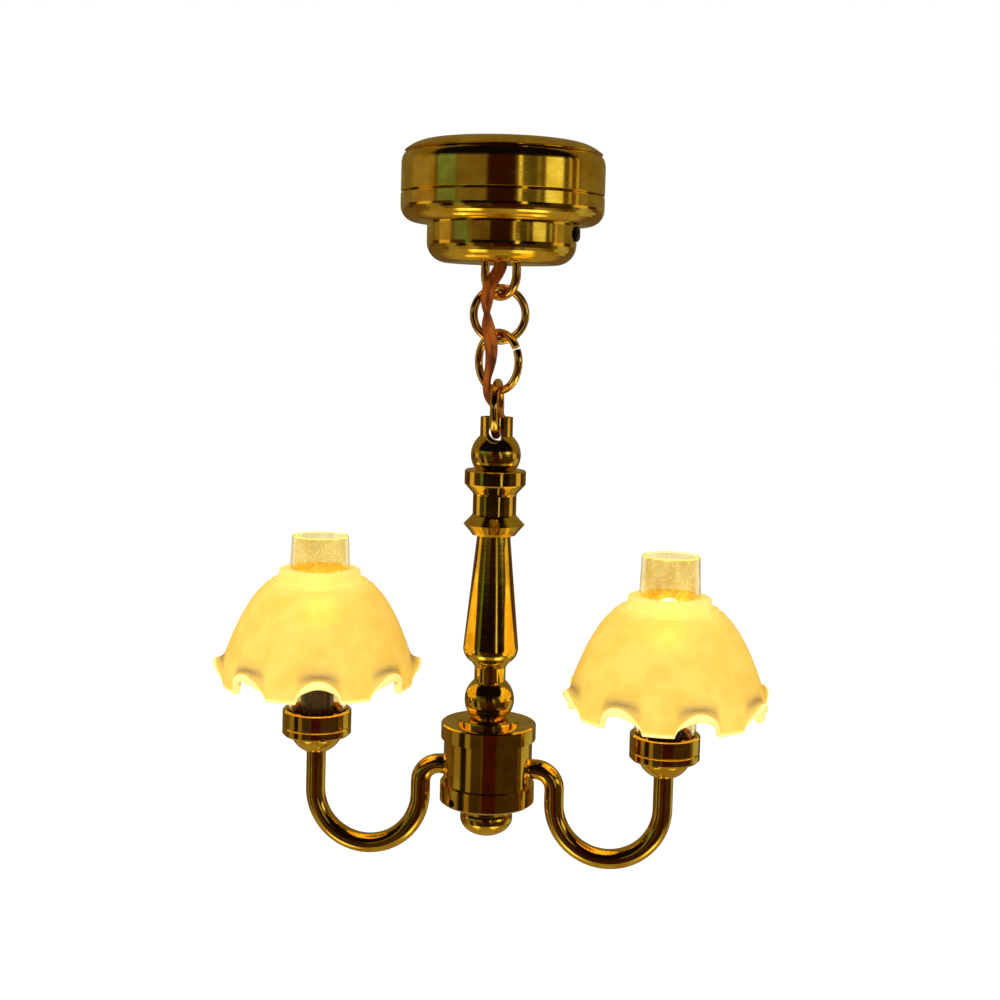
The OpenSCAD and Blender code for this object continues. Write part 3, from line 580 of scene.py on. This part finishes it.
# Soft-edged patches of the room that the brass mirrors, drawn one over another. Each has a name,
# the direction from the camera's side and half width, height above level and half height,
# softness, colour.
ROOM = [
    ("front_dark", 0, 88, 44, 32, 2, (0.005, 0.003, 0.001)),
    ("ceiling", 0, 200, 90, 16, 2, (0.005, 0.003, 0.001)),
    ("back_wall", 180, 85, 35, 39, 2.5, (0.2, 0.15, 0.055)),
    ("tan_wall", -35, 18, 4, 10, 2, (0.18, 0.125, 0.06)),
    ("green_window", -66, 12, 4, 10, 2, (0.16, 0.24, 0.2)),
    ("left_wall", -102, 20, 4, 10, 3, (0.28, 0.2, 0.11)),
    ("person", -2, 16, 4, 10, 1.5, (0.028, 0.006, 0.003)),
    ("thin_lamp", 19, 2, 4, 10, 1, (0.9, 0.78, 0.42)),
    ("olive_wall", 29, 8, 4, 10, 1.5, (0.10, 0.08, 0.035)),
    ("frame", 40, 2.5, 4, 10, 1, (0.24, 0.21, 0.10)),
    ("right_window", 59, 11, 4, 10, 1.5, (1.0, 0.95, 0.6)),
    ("sill", 80, 2, 4, 10, 1, (0.5, 0.42, 0.22)),
    ("door", 91, 2, 4, 10, 1, (0.55, 0.45, 0.24)),
    ("level_sides", 0, 130, -4, 6, 2, (0.05, 0.028, 0.012)),
    ("level_dark", 4, 50, -4, 6, 2, (0.006, 0.003, 0.001)),
    ("level_lamp", 24, 3, -4, 6, 1, (1.0, 0.85, 0.5)),
    ("level_green", -52, 5, -4, 6, 1.5, (0.10, 0.18, 0.08)),
    ("level_left_glow", -98, 12, -4, 6, 3, (0.7, 0.5, 0.2)),
    ("level_right_glow", 98, 12, -4, 6, 3, (0.7, 0.5, 0.2)),
    ("low_wall", 0, 200, -21, 12, 2, (0.14, 0.09, 0.035)),
    ("low_left_light", -87, 10, -21, 12, 1.5, (0.28, 0.22, 0.13)),
    ("low_left_black", -66, 8, -21, 12, 1.5, (0.010, 0.008, 0.003)),
    ("low_gold", -51, 6, -21, 12, 1, (0.28, 0.2, 0.1)),
    ("low_brown", -30, 14, -21, 12, 1.5, (0.05, 0.03, 0.012)),
    ("low_red", 5, 19, -21, 12, 1.5, (0.042, 0.006, 0.002)),
    ("low_right_dark", 54, 32, -21, 12, 2, (0.05, 0.026, 0.008)),
    ("low_right_light", 116, 18, -21, 12, 2, (0.42, 0.4, 0.22)),
    ("table", 0, 200, -80, 46, 6, (0.34, 0.25, 0.10)),
    ("under_front", 0, 42, -36, 8, 3, (0.02, 0.008, 0.003)),
    ("left_gleam", -52, 18, -53, 8, 6, (1.6, 1.5, 0.85)),
    ("right_gleam", 48, 22, -53, 8, 6, (1.6, 1.5, 0.85)),
]
ROOM_BASE = (0.115, 0.062, 0.03, 1)


def room_colour(tree):
    """What glossy rays see, by direction."""
    at = add(tree, "ShaderNodeTexCoord").outputs["Generated"]
    axes = add(tree, "ShaderNodeSeparateXYZ", {0: at}).outputs
    from_front = maths(tree, "ARCTAN2", axes["X"], maths(tree, "MULTIPLY", axes["Y"], -1.0))
    around = maths(tree, "SUBTRACT", maths(tree, "DEGREES", from_front), CAMERA_TURN)
    up = maths(tree, "DEGREES", maths(tree, "ARCSINE", axes["Z"]))
    colour = ROOM_BASE
    for _, azimuth, half_width, height, half_height, soft, paint_colour in ROOM:
        wrapped = maths(tree, "WRAP", maths(tree, "SUBTRACT", around, azimuth), -180.0, 180.0)
        aside = maths(tree, "ABSOLUTE", wrapped)
        above = maths(tree, "ABSOLUTE", maths(tree, "SUBTRACT", up, height))
        inside = spread(tree, aside, half_width - soft, half_width + soft, 1.0, 0.0)
        level = spread(tree, above, half_height - soft, half_height + soft, 1.0, 0.0)
        share = maths(tree, "MULTIPLY", inside, level)
        colour = mixed(tree, share, colour, (*paint_colour, 1))
    return colour


def add_world():
    """White to the camera and through glass, the room in reflections, and an even pale light on
    everything else. Sampling is off, which is meant to keep that pale light out of reflections."""
    world = bpy.data.worlds.new("studio")
    bpy.context.scene.world = world
    world.cycles.sampling_method = "NONE"
    world.use_nodes = True
    tree = world.node_tree
    path = add(tree, "ShaderNodeLightPath").outputs
    plain = maths(tree, "MAXIMUM", path["Is Camera Ray"], path["Is Transmission Ray"])
    colour = mixed(tree, path["Is Glossy Ray"], PLAIN_LIGHT, room_colour(tree))
    colour = mixed(tree, plain, colour, (1, 1, 1, 1))
    tree.links.new(colour, tree.nodes["Background"].inputs["Color"])


def add_floor():
    material, tree, shader = look("floor", Roughness=0.9)
    shader.inputs["Base Color"].default_value = (0.9, 0.9, 0.9, 1)
    white = add(tree, "ShaderNodeEmission", {"Color": (1, 1, 1, 1), "Strength": FLOOR_WHITE})
    path = add(tree, "ShaderNodeLightPath").outputs
    plain = maths(tree, "MAXIMUM", path["Is Camera Ray"], path["Is Transmission Ray"])
    share = maths(tree, "MULTIPLY", plain, FLOOR_OWN)
    both = add(tree, "ShaderNodeMixShader", {0: share, 1: shader.outputs[0], 2: white.outputs[0]})
    tree.links.new(both.outputs[0], tree.nodes["Material Output"].inputs["Surface"])
    mesh = bpy.data.meshes.new("floor")
    corners = [(-1, -1), (1, -1), (1, 1), (-1, 1)]
    points = [Vector((x * FLOOR_HALF, y * FLOOR_HALF, FLOOR_Z)) * MM for x, y in corners]
    mesh.from_pydata(points, [], [(0, 1, 2, 3)])
    mesh.materials.append(material)
    floor = bpy.data.objects.new("floor", mesh)
    floor.visible_glossy = False
    bpy.context.scene.collection.objects.link(floor)


def add_lamp(name, azimuth, height, distance, size, watts):
    """A soft studio light that faces the chandelier. distance and size are in metres."""
    data = bpy.data.lights.new(name, "AREA")
    data.size = size
    data.energy = watts
    lamp = bpy.data.objects.new(name, data)
    lamp.visible_glossy = False
    lamp.visible_transmission = False
    bpy.context.scene.collection.objects.link(lamp)
    away = turned("Z", azimuth) @ turned("X", -height) @ Vector((0, -distance, 0))
    lamp.location = Vector((0, 0, LAMPS_AIM_Z * MM)) + away
    lamp.rotation_euler = (-away).to_track_quat("-Z", "Y").to_euler()


def add_studio():
    bpy.context.scene.view_settings.view_transform = "Standard"
    add_world()
    add_floor()
    add_lamp("key_light", -35, 40, 0.6, 0.4, 1.6)
    add_lamp("fill_light", 55, 25, 0.7, 0.5, 0.9)


# ---- The scene ----

add_camera()
dress_cad_nodes()
add_lead(insulation())
for side in ("right", "left"):
    add_shade(Lamp(side))
add_studio()
